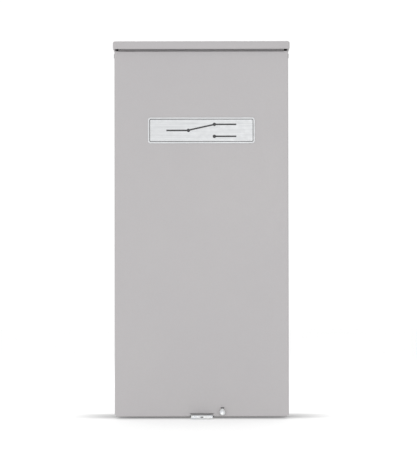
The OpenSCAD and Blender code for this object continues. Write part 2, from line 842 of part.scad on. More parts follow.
// Moulded grip pushed over the end of the handle
module handle_grip() {
  grip_len = 28;
  wall = 3;
  x = [handle_x[0] - wall, handle_x[1] + wall];
  color(red_moulding) at_utility() difference() {
    union() {
      block(x, [-handle_len - 9, -handle_len - 9 + grip_len], [-9, 9]);
      x_rod(9, x, -handle_len - 9, 0);
    }
    block(handle_x, [-handle_len, -handle_len + grip_len], [-6, 6]);
    x_rod(6, handle_x, -handle_len, 0);
  }
}

module drive_crank() {
  x = [-76, -70];
  color(steel) at_utility() difference() {
    union() {
      x_rod(11, x, 0, 0);
      block(x, [-crank_r, 0], [-7, 7]);
      x_rod(7, x, -crank_r, 0);
      x_rod(3, [-94, x[0] + 1], -crank_r, 0);
    }
    x_rod(shaft_r, [x[0] - 1, x[1] + 1], 0, 0);
  }
}

// Rod that both coils pull, with a block whose slot holds the crank's pin
module solenoid_plunger() {
  z = shaft_z + plunger_lift;
  block_x = [plunger_x - 8, plunger_x + 12];
  color(steel) difference() {
    union() {
      z_rod(plunger_r, plunger_x, plunger_y, [z - 68, z + 68]);
      block(block_x, [plunger_y - 10, plunger_y + 10], [z - 9, z + 9]);
    }
    block([plunger_x + 3, block_x[1] + 1], [plunger_y - 7, plunger_y + 7], [z - 3.4, z + 3.4]);
  }
}

module coil() {
  z = [shaft_z + coil_z[0], shaft_z + coil_z[1]];
  bore = plunger_r + 0.4;
  color(coil_tape) difference() {
    z_rod(coil_r - 1, plunger_x, plunger_y, [z[0] + 2, z[1] - 2]);
    z_rod(bore, plunger_x, plunger_y, [z[0] - 1, z[1] + 1]);
  }
  color(ivory) for (e = [z[0], z[1] - 2]) difference() {
    z_rod(coil_r + 1, plunger_x, plunger_y, [e, e + 2]);
    z_rod(bore, plunger_x, plunger_y, [e - 1, e + 3]);
  }
}

module utility_coil() coil();

module generator_coil() below_shaft() coil();

module solenoid_frame() {
  reach = coil_z[1];
  plate_t = 3;
  x = [plunger_x - 20, plunger_x + 20];
  back = plunger_y + coil_r + 1.5;
  color(zinc) difference() {
    union() {
      block(x, [back, back + plate_t], [shaft_z - reach - plate_t, shaft_z + reach + plate_t]);
      for (z = [shaft_z - reach - plate_t, shaft_z + reach])
        block(x, [plunger_y - 14, back + 1], [z, z + plate_t]);
      for (z = [shaft_z - reach + 6, shaft_z + reach - 14])
        block([x[0] + 8, x[1] - 8], [back + plate_t - 1, panel_y], [z, z + 8]);
    }
    z_rod(plunger_r + 0.6, plunger_x, plunger_y, [shaft_z - reach - 9, shaft_z + reach + 9]);
  }
}

// Cam with one lobe for each limit switch
module switch_cam() {
  lobe_w = 4;
  color(ivory) translate([0, shaft_y, shaft_z]) side_on(cam_x[0], cam_x[1] - cam_x[0]) difference() {
    union() {
      circle(11);
      for (a = [0, 180 - throw_deg]) rotate(a) translate([-lobe_w / 2, 0])
        square([lobe_w, cam_lobe_r]);
    }
    circle(shaft_r);
  }
}

lever_z = shaft_z + cam_lobe_r + lever_gap;
lever_axis_y = shaft_y + lever_back;
lever_barrel_r = 1.6;

// A snap switch above the cam: case, and two ears for the lever's pivot
module upper_switch() {
  case_z = lever_z + 5;
  ear_x = [[cam_x[0] - 2.4, cam_x[0] - 0.4], [cam_x[1] + 0.4, cam_x[1] + 2.4]];
  color(moulding) difference() {
    union() {
      block([cam_x[0] - 2.4, cam_x[1] + 2.4], [shaft_y - 14, base_y], [case_z, case_z + 16]);
      for (x = ear_x) block(x, [lever_axis_y - 4, base_y], [lever_z - 2, case_z + 1]);
    }
    x_rod(lever_barrel_r + pin_fit, [cam_x[0] - 4, cam_x[1] + 4], lever_axis_y, lever_z + 1);
  }
}

module limit_switches() {
  upper_switch();
  below_shaft() upper_switch();
}

// Lever over the cam, held up by the lobe when the cam's lobe is under it
module upper_lever() {
  color(steel) union() {
    x_rod(lever_barrel_r, [cam_x[0] - 2.4, cam_x[1] + 2.4], lever_axis_y, lever_z + 1);
    block([cam_x[0] + 0.5, cam_x[1] - 0.5], [shaft_y - 12, lever_axis_y], [lever_z, lever_z + 1]);
  }
}

module utility_switch_lever() upper_lever();

module generator_switch_lever() {
  slack = throw_deg * lever_ratio;
  below_shaft() translate([0, lever_axis_y, lever_z + 1]) rotate([slack, 0, 0])
    translate([0, -lever_axis_y, -lever_z - 1]) upper_lever();
}

// ---------- controls ----------

fuse_xs = [-118, -105, -92];
fuse_zs = [62, 100];
fuse_y = -46;
fuse_r = 5;

module fuse_block() {
  color(moulding) difference() {
    union() {
      block([-127, -83], [-32, panel_y], [56, 106]);
      for (z = [fuse_zs[0] - 4, fuse_zs[1] - 6]) block([-125, -85], [fuse_y + 1, -31], [z, z + 10]);
    }
    for (x = fuse_xs) z_rod(fuse_r, x, fuse_y, [50, 110]);
  }
}

module control_fuses() {
  cap_len = 9;
  for (x = fuse_xs) {
    color(ivory) z_rod(fuse_r - 0.4, x, fuse_y, [fuse_zs[0] + cap_len, fuse_zs[1] - cap_len]);
    for (z = [fuse_zs[0], fuse_zs[1] - cap_len])
      color(copper) z_rod(fuse_r, x, fuse_y, [z, z + cap_len]);
  }
}

module relay_socket() {
  color(moulding) union() {
    block([-126, -90], [-44, panel_y], [-186, -128]);
    for (z = [-186, -136]) block([-126, -90], [-50, -43], [z, z + 8]);
  }
}

module transfer_relay() {
  color(clear) facing(-44, 44) translate([-108, -157]) rounded(32, 38, 2.5);
}

module terminal_strip() {
  color(moulding) union() {
    block([-128, -66], [-34, panel_y], strip_zs);
    for (i = [0:strip_positions])
      block([-127.4 + i * strip_pitch, -126 + i * strip_pitch], [-42, -33], strip_zs);
  }
}

module terminal_screws() {
  color(tin) for (i = [0:strip_positions - 1])
    pan_screw(-122.4 + i * strip_pitch, -34, (strip_zs[0] + strip_zs[1]) / 2, 1, 3.2, 2.2, 0);
}

board_posts = [for (x = [board_xs[0] + 5, board_xs[1] - 5], z = [board_zs[0] + 5, board_zs[1] - 5])
               [x, z]];

module control_board() {
  color(board_green) difference() {
    block(board_xs, [board_y, board_y + board_t], board_zs);
    for (p = board_posts) y_rod(1.6, p[0], [board_y - 1, board_y + 3], p[1]);
  }
}

module board_standoffs() {
  color(ivory) for (p = board_posts) union() {
    y_rod(3.5, p[0], [board_y + board_t, panel_y], p[1]);
    y_rod(1.5, p[0], [board_y - 2.5, board_y + board_t + 1], p[1]);
  }
}

module board_parts() {
  relay_x = [78, 100];
  relay_size = [16, 15, 19];
  for (x = relay_x) color(moulding)
    block([x, x + relay_size[0]], [board_y - relay_size[1], board_y], [-145, -145 + relay_size[2]]);
  color(red_moulding) block([82, 108], [board_y - 20, board_y], [-182, -158]);
  color(header_green) for (i = [0:3])
    block([76 + i * 12, 86 + i * 12], [board_y - 11, board_y], [-199, -189]);
  color(tin) for (x = [112, 122]) y_rod(4, x, [board_y - 14, board_y], -172);
  color(silver) for (i = [0:2]) y_rod(1.5, 84 + i * 8, [board_y - 4, board_y], -118);
}

// ---------- neutral and ground ----------

neutral_screw_zs = [for (i = [0:7]) neutral_zs[0] + 12 + i * 22];
ground_screw_xs = [for (i = [0:7]) ground_xs[0] + 15 + i * 13];

module neutral_bar() {
  strap_z = neutral_zs[1] + 3;
  x = [neutral_x - 9, neutral_x + 9];
  color(tin) difference() {
    union() {
      block(x, [-50, -35], neutral_zs);
      block([x[0] + 3, x[1] - 3], [-50, panel_y], [neutral_zs[1] - 1, strap_z]);
      block([x[0] + 3, x[1] - 3], [panel_y - 2, panel_y], [strap_z - 1, strap_z + 14]);
    }
    for (z = neutral_screw_zs) x_rod(3.4, [x[0] - 1, x[1] + 1], -42, z);
    for (z = neutral_screw_zs) y_rod(2.6, neutral_x, [-52, -42], z);
  }
}

module neutral_insulators() {
  color(red_moulding) for (z = [-70, 62])
    block([neutral_x - 8, neutral_x + 8], [-35, panel_y], [z, z + 18]);
}

module ground_bar() {
  color(tin) difference() {
    union() {
      block(ground_xs, [ground_y, ground_y + 10], [ground_z - 6, ground_z + 6]);
      for (x = [ground_xs[0], ground_xs[1] - 9])
        block([x, x + 9], [ground_y + 9, back_in_y], [ground_z - 6, ground_z + 6]);
    }
    for (x = ground_screw_xs) z_rod(3, x, ground_y + 5, [ground_z - 7, ground_z + 7]);
    for (x = ground_screw_xs) y_rod(2.6, x, [ground_y - 1, ground_y + 5], ground_z);
  }
}

module bar_screws() {
  color(zinc) {
    for (z = neutral_screw_zs) pan_screw(neutral_x, -50.2, z, 2.4, 4, 2.6, 4.4);
    for (x = ground_screw_xs) pan_screw(x, ground_y - 0.2, ground_z, 2.4, 4, 2.6, 1.8);
  }
}

// ---------- wiring ----------

// A point on a smooth curve through the points of a route, at t from one point to the next
function curve(p, i, t) =
  let (n = len(p) - 1, a = p[max(i - 1, 0)], b = p[i], c = p[i + 1], d = p[min(i + 2, n)])
  0.5 * (2 * b + (c - a) * t + (2 * a - 5 * b + 4 * c - d) * t * t
         + (3 * b - a - 3 * c + d) * t * t * t);
function smooth(p, steps) = concat(
  [for (i = [0:len(p) - 2], k = [0:steps - 1]) curve(p, i, k / steps)], [p[len(p) - 1]]);
function unit(v) = v / norm(v);
function along(p, i) = unit(p[min(i + 1, len(p) - 1)] - p[max(i - 1, 0)]);
function ring(p, i, r, sides) =
  let (t = along(p, i), u = unit(cross(t, abs(t[0]) > 0.9 ? [0, 1, 0] : [1, 0, 0])), v = cross(t, u))
  [for (k = [0:sides - 1]) p[i] + r * (cos(360 * k / sides) * u + sin(360 * k / sides) * v)];

module wire(route, r) {
  sides = 8;
  path = smooth(route, 3);
  last = len(path) - 1;
  points = [for (i = [0:last]) each ring(path, i, r, sides)];
  walls = [for (i = [0:last - 1], k = [0:sides - 1])
    let (n = (k + 1) % sides) [i * sides + k, (i + 1) * sides + k, (i + 1) * sides + n, i * sides + n]];
  ends = [[for (k = [0:sides - 1]) k], [for (k = [sides - 1:-1:0]) last * sides + k]];
  polyhedron(points, concat(walls, ends), convexity = 4);
}

// Control leads: terminals to relay, relay to fuses, and terminals to the control board
module control_wiring() {
  wire_r = 1.4;
  lead_y = -27.5;
  board_lead_y = board_y - 6;
  color(wire_blue) {
    for (i = [0:2]) wire([[-118 + strip_pitch * i, -30, -217.6], [-118 + strip_pitch * i, -30, -208],
      [-118 + 9 * i, -32, -198], [-118 + 9 * i, -34, -186.6]], wire_r);
    for (i = [0:2]) wire([[-118 + 8 * i, -30, -127.4], [-121 + 7 * i, -29, -116],
      [-131 + 5 * i, lead_y, -92], [-132 + 5 * i, lead_y, -40], [-132 + 5 * i, lead_y, 20],
      [-129 + 7 * i, lead_y, 38], [-118 + 13 * i, lead_y, 48], [-118 + 13 * i, lead_y, 55.2]], wire_r);
    for (i = [0:3]) let (from_x = -93 + 8 * i, to_x = 117 - 12 * i, run_z = -258 + 4 * i)
      wire([[from_x, -30, -241.2], [from_x, -30, -244], [from_x + 7, -27, run_z],
        [20, -27, run_z], [to_x - 8, -27, run_z], [to_x, -29, run_z + 8],
        [to_x, board_lead_y + 2, -212], [to_x, board_lead_y, -199.6]], wire_r);
  }
}

enclosure_wrapper();
bottom_pan();
top_cap();
hasp_staple();
hinge_pins();
rivet_nut();
subpanel();
subpanel_standoffs();
subpanel_nuts();
front_cover();
cover_gasket();
nameplate();
screw_washer();
cover_screw();
main_breaker_case();
main_breaker_handle();
line_lugs();
lug_screws();
bus_bars();
bus_bolts();
dead_front();
dead_front_brackets();
dead_front_screws();
transfer_base();
shaft_bushings();
contact_shaft();
contact_arms();
utility_contacts();
generator_contacts();
load_terminals();
arc_chutes();
transfer_shield();
shield_screws();
generator_lugs();
load_lugs();
manual_handle();
handle_grip();
drive_crank();
solenoid_frame();
utility_coil();
generator_coil();
solenoid_plunger();
switch_cam();
limit_switches();
utility_switch_lever();
generator_switch_lever();
fuse_block();
control_fuses();
relay_socket();
transfer_relay();
terminal_strip();
terminal_screws();
control_board();
board_standoffs();
board_parts();
neutral_bar();
neutral_insulators();
ground_bar();
bar_screws();
control_wiring();
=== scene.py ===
import json
import math

import bmesh
import bpy
from mathutils import Matrix, Vector


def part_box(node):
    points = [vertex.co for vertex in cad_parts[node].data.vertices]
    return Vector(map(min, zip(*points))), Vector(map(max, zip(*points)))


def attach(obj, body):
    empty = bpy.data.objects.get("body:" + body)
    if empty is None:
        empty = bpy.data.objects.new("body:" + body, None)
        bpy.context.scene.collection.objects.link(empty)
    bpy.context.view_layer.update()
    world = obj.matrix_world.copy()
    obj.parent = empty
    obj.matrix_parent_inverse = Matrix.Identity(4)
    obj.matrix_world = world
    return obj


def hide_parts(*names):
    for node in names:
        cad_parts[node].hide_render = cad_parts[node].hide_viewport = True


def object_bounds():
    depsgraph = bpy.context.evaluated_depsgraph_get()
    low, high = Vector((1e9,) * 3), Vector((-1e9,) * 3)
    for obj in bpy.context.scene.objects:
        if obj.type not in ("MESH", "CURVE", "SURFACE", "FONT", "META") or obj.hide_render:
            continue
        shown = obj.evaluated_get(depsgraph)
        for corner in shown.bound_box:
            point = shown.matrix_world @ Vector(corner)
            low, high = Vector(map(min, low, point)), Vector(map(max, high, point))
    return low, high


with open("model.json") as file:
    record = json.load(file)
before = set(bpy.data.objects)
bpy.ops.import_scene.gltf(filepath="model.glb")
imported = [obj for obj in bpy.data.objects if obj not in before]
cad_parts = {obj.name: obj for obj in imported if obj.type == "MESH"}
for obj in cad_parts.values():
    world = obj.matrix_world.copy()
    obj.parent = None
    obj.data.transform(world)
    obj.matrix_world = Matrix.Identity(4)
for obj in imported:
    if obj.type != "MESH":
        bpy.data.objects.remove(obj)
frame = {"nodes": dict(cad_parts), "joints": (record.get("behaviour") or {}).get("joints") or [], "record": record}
cad_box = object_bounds()

NODES = frame["nodes"]
SLOT_OF = {s["node"]: s["material_slot"] for s in frame["record"]["subparts"]}
MM = 0.001
TURN = 2 * math.pi


# ---------- materials ----------


class Finish:
    """A procedural material: one Principled shader, with nodes for colour, roughness and bump."""

    def __init__(self, name, **sockets):
        self.material = bpy.data.materials.new(name)
        self.material.use_nodes = True
        self.nodes = self.material.node_tree.nodes
        self.links = self.material.node_tree.links
        self.shader = self.nodes["Principled BSDF"]
        for socket, value in sockets.items():
            self.shader.inputs[socket.replace("_", " ")].default_value = value
        self.place = self.add("ShaderNodeTexCoord").outputs["Object"]
        self.relief = None

    def add(self, kind, inputs=None, **settings):
        """A node with its settings. An input that is a socket is linked, and any other is set."""
        made = self.nodes.new(kind)
        for name, value in settings.items():
            setattr(made, name, value)
        for key, value in (inputs or {}).items():
            if isinstance(value, bpy.types.NodeSocket):
                self.links.new(value, made.inputs[key])
            else:
                made.inputs[key].default_value = value
        return made

    def stretched(self, scale):
        return self.add("ShaderNodeMapping", {"Vector": self.place, "Scale": scale}).outputs[0]

    def noise(self, scale, detail=3.0, rough=0.5, stretch=None):
        place = self.stretched(stretch) if stretch else self.place
        values = {"Vector": place, "Scale": scale, "Detail": detail, "Roughness": rough}
        return self.add("ShaderNodeTexNoise", values).outputs["Fac"]

    def cells(self, scale, feature="F1", output="Distance"):
        values = {"Vector": self.place, "Scale": scale}
        return self.add("ShaderNodeTexVoronoi", values, feature=feature).outputs[output]

    def spread(self, value, low, high, start=0.3, end=0.7):
        """Stretches the middle of a pattern's range over low to high."""
        values = {"Value": value, "From Min": start, "From Max": end, "To Min": low, "To Max": high}
        return self.add("ShaderNodeMapRange", values).outputs[0]

    def times(self, first, second):
        made = self.add("ShaderNodeMath", {0: first, 1: second}, operation="MULTIPLY")
        return made.outputs[0]

    def blend(self, share, first, second):
        """One colour at share 0 and the other at share 1."""
        made = self.add("ShaderNodeMix", {0: share, 6: first, 7: second}, data_type="RGBA")
        return made.outputs[2]

    def worn(self, radius, start=0.02, end=0.25):
        """1 along the edges that rub, 0 on the flat: how far a rounded normal leaves the true one."""
        soft = self.add("ShaderNodeBevel", {"Radius": radius}, samples=4).outputs[0]
        true = self.add("ShaderNodeNewGeometry").outputs["Normal"]
        bent = self.add("ShaderNodeVectorMath", {0: soft, 1: true}, operation="DOT_PRODUCT")
        edge = self.add("ShaderNodeMath", {0: 1.0, 1: bent.outputs["Value"]}, operation="SUBTRACT")
        broken = self.spread(self.noise(900, 4), 0.3, 1.0)
        return self.times(self.spread(edge.outputs[0], 0, 1, start, end), broken)

    def axes(self):
        return self.add("ShaderNodeSeparateXYZ", {0: self.place}).outputs

    def zone(self, middle, half, value):
        """1 where a value lies within half of the middle, all in millimetres, else 0."""
        inputs = {0: value, 1: middle * MM, 2: half * MM}
        return self.add("ShaderNodeMath", inputs, operation="COMPARE").outputs[0]

    def size_of(self, value):
        return self.add("ShaderNodeMath", {0: value}, operation="ABSOLUTE").outputs[0]

    def metal(self, value):
        self.links.new(value, self.shader.inputs["Metallic"])

    def colour(self, value):
        self.links.new(value, self.shader.inputs["Base Color"])

    def rough(self, value):
        self.links.new(value, self.shader.inputs["Roughness"])

    def bump(self, height, depth, strength=1.0):
        """Adds a layer of relief, depth in metres."""
        values = {"Height": height, "Strength": strength, "Distance": depth}
        if self.relief:
            values["Normal"] = self.relief
        self.relief = self.add("ShaderNodeBump", values).outputs[0]
        self.links.new(self.relief, self.shader.inputs["Normal"])


def grey(level):
    return (level, level, level, 1)


PAINT_COOL = (0.474, 0.459, 0.467, 1)
PAINT_WARM = (0.490, 0.474, 0.478, 1)
PAINT_DEEP = (0.444, 0.430, 0.437, 1)
PAINT_DUST = (0.504, 0.490, 0.482, 1)
# Paler grey for the edges: rubbed paint, and also a painted edge highlight
PAINT_RUB_HIGHLIGHT = (0.575, 0.565, 0.56, 1)


def powder_coat():
    """Light grey polyester powder coat on zinc-coated sheet: satin, with fine orange peel."""
    f = Finish("powder_coat", Specular_IOR_Level=0.42)
    wide = f.spread(f.noise(4, 2), 0, 1)
    fine = f.spread(f.noise(350, 3), 0, 1)
    base = f.blend(wide, PAINT_COOL, PAINT_WARM)
    specked = f.blend(f.times(fine, 0.35), base, PAINT_DEEP)
    dusty = f.blend(f.spread(f.noise(30, 5, 0.65), 0.0, 0.16, 0.52, 0.75), specked, PAINT_DUST)
    # Edges paler towards the rub colour: rubbed paint and a painted edge highlight
    f.colour(f.blend(f.times(f.worn(0.0006, 0.04, 0.4), 0.3), dusty, PAINT_RUB_HIGHLIGHT))
    f.rough(f.spread(f.noise(60, 4), 0.40, 0.50))
    f.bump(f.noise(1100, 2), 0.00004, 0.35)
    f.bump(f.noise(320, 1), 0.00012, 0.3)
    return f


def zinc_plating():
    """Bright zinc plating, with a faint blue and yellow passivation and fine handling marks."""
    f = Finish("zinc_plating", Metallic=1.0)
    tone = f.blend(f.spread(f.noise(60, 3), 0, 1), (0.62, 0.64, 0.67, 1), (0.68, 0.67, 0.63, 1))
    mark = f.spread(f.noise(700, 4, 0.6), 0, 0.3)
    stained = f.blend(mark, tone, (0.50, 0.52, 0.54, 1))
    f.colour(f.blend(f.times(f.worn(0.0004), 0.6), stained, (0.93, 0.93, 0.94, 1)))
    f.rough(f.spread(f.noise(220, 4), 0.26, 0.42))
    f.bump(f.noise(1500, 3), 0.00003, 0.4)
    f.bump(f.noise(90, 2), 0.0001, 0.2)
    return f


def galvanised_sheet():
    """Galvanised sheet of the subpanel: large dull spangles in a grey zinc skin."""
    f = Finish("galvanised_sheet", Metallic=1.0)
    flake = f.spread(f.cells(70, output="Color"), 0, 1, 0, 1)
    tone = f.blend(flake, (0.52, 0.54, 0.56, 1), (0.74, 0.76, 0.78, 1))
    f.colour(f.blend(f.spread(f.noise(25, 4), 0, 0.5), tone, (0.60, 0.61, 0.61, 1)))
    f.rough(f.spread(flake, 0.34, 0.52, 0, 1))
    f.bump(flake, 0.00003, 0.25)
    f.bump(f.noise(1200, 3), 0.00003, 0.3)
    return f


def turned_steel():
    """Machined steel under a film of oil: fine tool lines along the piece's length."""
    f = Finish("turned_steel", Metallic=1.0)
    lines = f.noise(500, 4, 0.6, stretch=(0.05, 1, 1))
    tone = f.blend(f.spread(lines, 0, 1), (0.40, 0.41, 0.43, 1), (0.60, 0.61, 0.62, 1))
    f.colour(f.blend(f.worn(0.0004), tone, (0.80, 0.80, 0.80, 1)))
    f.rough(f.spread(f.noise(150, 3), 0.24, 0.40))
    f.bump(lines, 0.00004, 0.4)
    return f


def bright_copper():
    """Bare copper bar: rolling lines, warm tarnish in clouds and fresh metal at the edges."""
    f = Finish("bright_copper", Metallic=1.0)
    rolled = f.noise(420, 4, 0.6, stretch=(1, 1, 0.04))
    cloud = f.spread(f.noise(45, 4, 0.6), 0, 1)
    tone = f.blend(cloud, (0.83, 0.42, 0.26, 1), (0.60, 0.28, 0.17, 1))
    lined = f.blend(f.spread(rolled, 0, 0.3), tone, (0.90, 0.52, 0.35, 1))
    f.colour(f.blend(f.worn(0.0004), lined, (0.95, 0.60, 0.42, 1)))
    f.rough(f.spread(cloud, 0.24, 0.42))
    f.bump(rolled, 0.00004, 0.35)
    return f


def tinned_metal():
    """Tin-plated aluminium: matt silver white, with the saw and drill marks softened."""
    f = Finish("tinned_metal", Metallic=1.0)
    tone = f.blend(f.spread(f.noise(80, 4), 0, 1), (0.70, 0.70, 0.68, 1), (0.82, 0.82, 0.80, 1))
    f.colour(f.blend(f.worn(0.0004), tone, (0.93, 0.93, 0.91, 1)))
    f.rough(f.spread(f.noise(260, 3), 0.34, 0.50))
    f.bump(f.noise(700, 3, 0.5, stretch=(1, 0.1, 1)), 0.00005, 0.4)
    return f


def moulding(name, tint, shine=0.42, edge=0.35):
    """Thermoset or nylon moulding: fine spark-eroded grain, paler colour on the edges that hands rub: wear and a
    painted edge highlight.
    """
    f = Finish(name)
    pale = tuple(min(1, c * 1.35 + 0.012) for c in tint[:3]) + (1,)
    deep = tuple(c * 0.8 for c in tint[:3]) + (1,)
    flow = f.blend(f.spread(f.noise(35, 3), 0, 1), deep, tint)
    # Edges paler: rubbed wear and a painted edge highlight
    f.colour(f.blend(f.times(f.worn(0.0005), edge), flow, pale))
    f.rough(f.spread(f.noise(300, 4), shine - 0.07, shine + 0.08))
    f.bump(f.noise(2600, 2), 0.00005, 0.45)
    f.bump(f.noise(120, 2), 0.0001, 0.12)
    return f


def clear_plastic():
    """Clear polycarbonate with a faint blue cast, hairline scratches and a little dust."""
    f = Finish("clear_plastic", Transmission_Weight=0.94, IOR=1.585)
    haze = f.spread(f.noise(40, 4), 0, 1)
    f.colour(f.blend(haze, (0.90, 0.95, 0.97, 1), (0.84, 0.90, 0.92, 1)))
    scratch = f.noise(260, 5, 0.7, stretch=(1, 1, 0.03))
    f.rough(f.spread(scratch, 0.03, 0.14))
    f.bump(scratch, 0.00002, 0.15)
    return f


# Heights of the two coils' middles, and half the length of their tape between the spool's flanges
COIL_MIDDLES = (23, -53)
TAPED_HALF = 17.9


def coil_tape():
    """Varnished polyester tape in overlapping turns round an ivory spool."""
    f = Finish("coil_tape", Coat_Weight=0.3, Coat_Roughness=0.2)
    wave = {"Vector": f.place, "Scale": 42.0, "Distortion": 0.6, "Detail": 1.0}
    turns = f.add("ShaderNodeTexWave", wave, bands_direction="Z", wave_profile="SAW").outputs["Fac"]
    tone = f.blend(turns, (0.36, 0.075, 0.035, 1), (0.50, 0.13, 0.06, 1))
    wound = f.blend(f.spread(f.noise(300, 4), 0, 0.4), tone, (0.26, 0.05, 0.03, 1))
    spool = f.blend(f.spread(f.noise(60, 3), 0, 1), (0.58, 0.54, 0.42, 1), (0.68, 0.64, 0.52, 1))
    upper, lower = (f.zone(middle, TAPED_HALF, f.axes()["Z"]) for middle in COIL_MIDDLES)
    taped = f.add("ShaderNodeMath", {0: upper, 1: lower}, operation="MAXIMUM").outputs[0]
    f.colour(f.blend(taped, spool, wound))
    f.rough(f.spread(f.noise(180, 3), 0.30, 0.46))
    f.bump(turns, 0.0002, 0.5)
    f.bump(f.noise(900, 3), 0.00005, 0.4)
    return f


def vulcanised_fibre():
    """Arc chute housing: brown fibre board with a felted grain and darker cut edges."""
    f = Finish("vulcanised_fibre")
    grain = f.noise(500, 5, 0.65, stretch=(1, 1, 0.15))
    tone = f.blend(f.spread(grain, 0, 1), (0.235, 0.115, 0.052, 1), (0.36, 0.19, 0.095, 1))
    board = f.blend(f.times(f.worn(0.0005), 0.5), tone, (0.15, 0.07, 0.035, 1))
    across = f.zone(28, 12.95, f.size_of(f.axes()["X"]))
    plate = f.times(across, f.zone(-120, 7.95, f.axes()["Y"]))
    steel = f.blend(f.spread(f.noise(120, 4), 0, 1), (0.34, 0.34, 0.35, 1), (0.55, 0.55, 0.56, 1))
    f.colour(f.blend(plate, board, steel))
    f.metal(plate)
    f.rough(f.spread(f.noise(200, 3), 0.50, 0.68))
    f.bump(grain, 0.0001, 0.5)
    return f


def ceramic():
    """Glazed ceramic fuse body, slightly creamy, between two plated end caps."""
    f = Finish("ceramic", Coat_Weight=0.5, Coat_Roughness=0.12)
    glaze = f.blend(f.spread(f.noise(90, 4), 0, 1), (0.78, 0.75, 0.67, 1), (0.86, 0.84, 0.78, 1))
    body = f.zone(81, 10.05, f.axes()["Z"])
    cap = f.blend(f.spread(f.noise(200, 3), 0, 1), (0.72, 0.66, 0.52, 1), (0.85, 0.80, 0.68, 1))
    f.colour(f.blend(body, cap, glaze))
    f.metal(f.add("ShaderNodeMath", {0: 1.0, 1: body}, operation="SUBTRACT").outputs[0])
    f.rough(f.spread(f.noise(300, 3), 0.25, 0.4))
    f.bump(f.spread(f.cells(900), 0, 1, 0, 0.12), 0.00008, 0.4)
    return f


def solder_mask():
    """Green solder mask over copper tracks that run in straight rows, with the weave below."""
    f = Finish("solder_mask", Coat_Weight=0.4, Coat_Roughness=0.15)
    turned = f.add("ShaderNodeMapping", {"Vector": f.place, "Rotation": (math.pi / 2, 0, 0)})
    brick = {"Vector": turned.outputs[0], "Color1": (0.012, 0.115, 0.05, 1),
             "Color2": (0.02, 0.17, 0.075, 1), "Mortar": (0.008, 0.07, 0.03, 1),
             "Scale": 150.0, "Mortar Size": 0.03, "Brick Width": 1.4, "Row Height": 0.32}
    tracks = f.add("ShaderNodeTexBrick", brick)
    f.colour(f.blend(f.spread(f.noise(60, 3), 0, 0.3), tracks.outputs["Color"], (0.01, 0.1, 0.05, 1)))
    f.rough(f.spread(f.noise(400, 3), 0.28, 0.42))
    f.bump(tracks.outputs["Fac"], 0.00006, -0.5)
    return f


def board_components():
    """Parts of the control board: blue relays, a taped transformer, green headers, capacitors."""
    f = Finish("board_components")
    axes = f.axes()
    flow = f.spread(f.noise(200, 3), 0, 1)
    sleeve = f.blend(flow, (0.012, 0.013, 0.018, 1), (0.03, 0.03, 0.04, 1))
    can = f.zone(-47.5, 0.6, axes["Y"])
    tone = f.blend(can, sleeve, (0.62, 0.63, 0.64, 1))
    relay = f.blend(flow, (0.02, 0.10, 0.36, 1), (0.035, 0.14, 0.45, 1))
    tone = f.blend(f.zone(-135.5, 9.7, axes["Z"]), tone, relay)
    coil = f.blend(f.zone(-45, 6.4, axes["Y"]), (0.05, 0.05, 0.055, 1), (0.55, 0.33, 0.03, 1))
    core = f.times(f.zone(95, 13.2, axes["X"]), f.zone(-170, 12.2, axes["Z"]))
    tone = f.blend(core, tone, coil)
    header = f.blend(flow, (0.02, 0.22, 0.06, 1), (0.035, 0.30, 0.09, 1))
    tone = f.blend(f.zone(-194, 5.2, axes["Z"]), tone, header)
    tone = f.blend(f.zone(-118, 1.7, axes["Z"]), tone, (0.05, 0.55, 0.10, 1))
    f.colour(tone)
    f.rough(f.spread(f.noise(300, 4), 0.30, 0.46))
    f.bump(f.noise(2200, 2), 0.00005, 0.4)
    return f


def foam():
    """Black closed-cell foam: open pits of many sizes on a dull skin."""
    f = Finish("foam", Specular_IOR_Level=0.25)
    pits = f.cells(900)
    # Darker in the middle of each pit: painted shade in the pits
    f.colour(f.blend(f.spread(pits, 0, 1, 0, 0.6), (0.006, 0.006, 0.006, 1), (0.035, 0.035, 0.036, 1)))
    f.rough(f.spread(f.noise(200, 3), 0.82, 0.95))
    f.bump(pits, 0.0003, 0.7)
    return f


def brushed_plate():
    """Brushed aluminium of the nameplate, the brush run along its length."""
    f = Finish("brushed_plate", Metallic=0.55)
    hairs = f.noise(900, 4, 0.7, stretch=(0.012, 1, 1))
    tone = f.blend(f.spread(hairs, 0, 1), (0.52, 0.53, 0.54, 1), (0.66, 0.67, 0.68, 1))
    f.colour(f.blend(f.times(f.worn(0.0003), 0.6), tone, (0.85, 0.85, 0.86, 1)))
    f.rough(f.spread(f.noise(120, 3), 0.36, 0.46))
    f.bump(hairs, 0.00003, 0.4)
    return f


def print_enamel():
    """Charcoal screen-printed enamel: thick, even ink with a slightly starved edge."""
    f = Finish("print_enamel", Coat_Weight=0.15, Coat_Roughness=0.25)
    f.colour(f.blend(f.spread(f.noise(220, 4), 0, 1), (0.013, 0.013, 0.015, 1), (0.026, 0.026, 0.029, 1)))
    f.rough(f.spread(f.noise(260, 3), 0.36, 0.5))
    f.bump(f.noise(1500, 2), 0.00003, 0.5)
    return f


POWDER_COAT = powder_coat()
ZINC = zinc_plating()
GALVANISED = galvanised_sheet()
STEEL = turned_steel()
COPPER = bright_copper()
TIN = tinned_metal()
BLACK = moulding("black_thermoset", (0.022, 0.022, 0.024, 1), 0.40)
IVORY = moulding("ivory_nylon", (0.66, 0.62, 0.50, 1), 0.38, 0.5)
RED = moulding("red_thermoset", (0.40, 0.05, 0.03, 1), 0.36, 0.4)
WIRE = moulding("wire_jacket", (0.035, 0.07, 0.30, 1), 0.34, 0.2)
CLEAR = clear_plastic()
TAPE = coil_tape()
FIBRE = vulcanised_fibre()
CERAMIC = ceramic()
BOARD = solder_mask()
PARTS = board_components()
FOAM = foam()
PLATE = brushed_plate()
PRINT = print_enamel()

